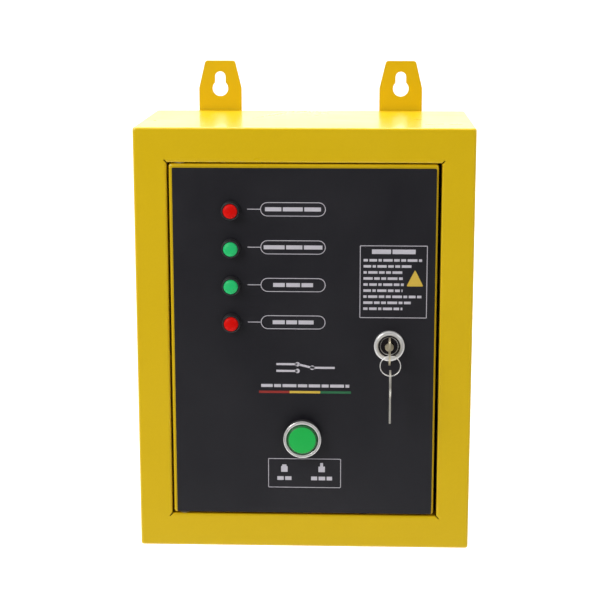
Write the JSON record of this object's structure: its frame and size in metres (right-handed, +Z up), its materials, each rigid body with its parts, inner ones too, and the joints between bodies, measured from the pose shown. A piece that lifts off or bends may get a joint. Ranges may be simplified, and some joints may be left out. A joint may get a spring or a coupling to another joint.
{
  "type": "wall-hung transfer switch box",
  "caption": "Yellow steel wall box with a keyed hinged door, round indicator lamps, a latching push button and contactors inside.",
  "frame": {"origin": "centre of the back sheet's rear face, on the wall", "axes": "+X to the right as seen from the front, +Y into the wall, +Z up"},
  "size_m": [0.25, 0.1774, 0.378],
  "materials": {
    "yellow_paint": "gloss powder coat",
    "black_face": "fine satin grain",
    "zinc_steel": "zinc plated",
    "bright_chrome": "polished",
    "key_metal": "nickel plate, worn",
    "brass": "machined",
    "black_plastic": "moulded",
    "red_lens": "translucent lens",
    "green_lens": "translucent lens",
    "white_nylon": "moulded",
    "grey_plastic": "moulded",
    "cream_plastic": "moulded",
    "blue_plastic": "moulded",
    "board_green": "solder mask",
    "loom_black": "spiral wrap"
  },
  "bodies": {
    "case": {"case_shell": "yellow_paint", "back_panel": "yellow_paint", "gland_1": "black_plastic", "gland_2": "black_plastic", "gland_3": "black_plastic", "gland_nut_1": "black_plastic", "gland_nut_2": "black_plastic", "gland_nut_3": "black_plastic", "mounting_plate": "zinc_steel", "plate_screw_1": "zinc_steel", "plate_screw_2": "zinc_steel", "plate_screw_3": "zinc_steel", "plate_screw_4": "zinc_steel", "din_rail": "zinc_steel", "contactor_mains": "cream_plastic", "contactor_generator": "cream_plastic", "interlock": "grey_plastic", "fuse_holder": "grey_plastic", "changeover_timer": "grey_plastic", "control_board": "board_green", "relay_1": "blue_plastic", "relay_2": "blue_plastic", "transformer": "grey_plastic", "terminal_block": "black_plastic", "earth_stud": "brass", "earth_nut": "brass", "door_loom": "loom_black"},
    "door": {"door_panel": "yellow_paint", "faceplate": "black_face", "hinge_pin_upper": "zinc_steel", "hinge_pin_lower": "zinc_steel", "hinge_washer_upper": "white_nylon", "hinge_washer_lower": "white_nylon", "lamp_body_1": "black_plastic", "lamp_body_2": "black_plastic", "lamp_body_3": "black_plastic", "lamp_body_4": "black_plastic", "lamp_lens_1": "red_lens", "lamp_lens_2": "green_lens", "lamp_lens_3": "green_lens", "lamp_lens_4": "red_lens", "lamp_nut_1": "black_plastic", "lamp_nut_2": "black_plastic", "lamp_nut_3": "black_plastic", "lamp_nut_4": "black_plastic", "button_bezel": "bright_chrome", "button_nut": "black_plastic", "contact_block": "grey_plastic", "lock_body": "bright_chrome", "lock_nut": "zinc_steel"},
    "button": {"button_cap": "green_lens"},
    "lock": {"lock_plug": "key_metal", "lock_cam": "zinc_steel", "cam_screw": "zinc_steel"},
    "key": {"key": "key_metal"},
    "key_ring": {"key_ring": "key_metal"},
    "spare_key": {"spare_key": "key_metal"},
    "carrier_mains": {"carrier_mains": "black_plastic"},
    "carrier_generator": {"carrier_generator": "black_plastic"}
  },
  "joints": [
    {"name": "door_hinge", "type": "hinge", "parent": "case", "child": "door", "pos_m": [-0.0914, -0.139, 0], "axis": [0, 0, -1], "range_deg": [0, 110], "deforming": ["door_loom"]},
    {"name": "button_press", "type": "slide", "parent": "door", "child": "button", "axis": [0, 1, 0], "range_m": [0, 0.004], "stiffness_N_per_m": 300},
    {"name": "lock_turn", "type": "hinge", "parent": "door", "child": "lock", "pos_m": [0.0634, -0.1453, -0.0012], "axis": [0, -1, 0], "range_deg": [0, 90]},
    {"name": "key_pull", "type": "slide", "parent": "lock", "child": "key", "axis": [0, -1, 0], "range_m": [0, 0.02]},
    {"name": "ring_swing", "type": "hinge", "parent": "key", "child": "key_ring", "pos_m": [0.0634, -0.1671, -0.00798], "axis": [0, -1, 0], "range_deg": [-90, 0]},
    {"name": "spare_swing", "type": "hinge", "parent": "key_ring", "child": "spare_key", "pos_m": [0.064, -0.1671, -0.01148], "axis": [0, -1, 0], "range_deg": [-30, 30]},
    {"name": "mains_contacts", "type": "slide", "parent": "case", "child": "carrier_mains", "axis": [0, 1, 0], "range_m": [0, 0.004], "stiffness_N_per_m": 300},
    {"name": "generator_contacts", "type": "slide", "parent": "case", "child": "carrier_generator", "axis": [0, 1, 0], "range_m": [0, 0.004], "stiffness_N_per_m": 300}
  ],
  "couplings": [
    {"joint": "ring_swing", "follows": "lock_turn", "ratio": -1}
  ]
}
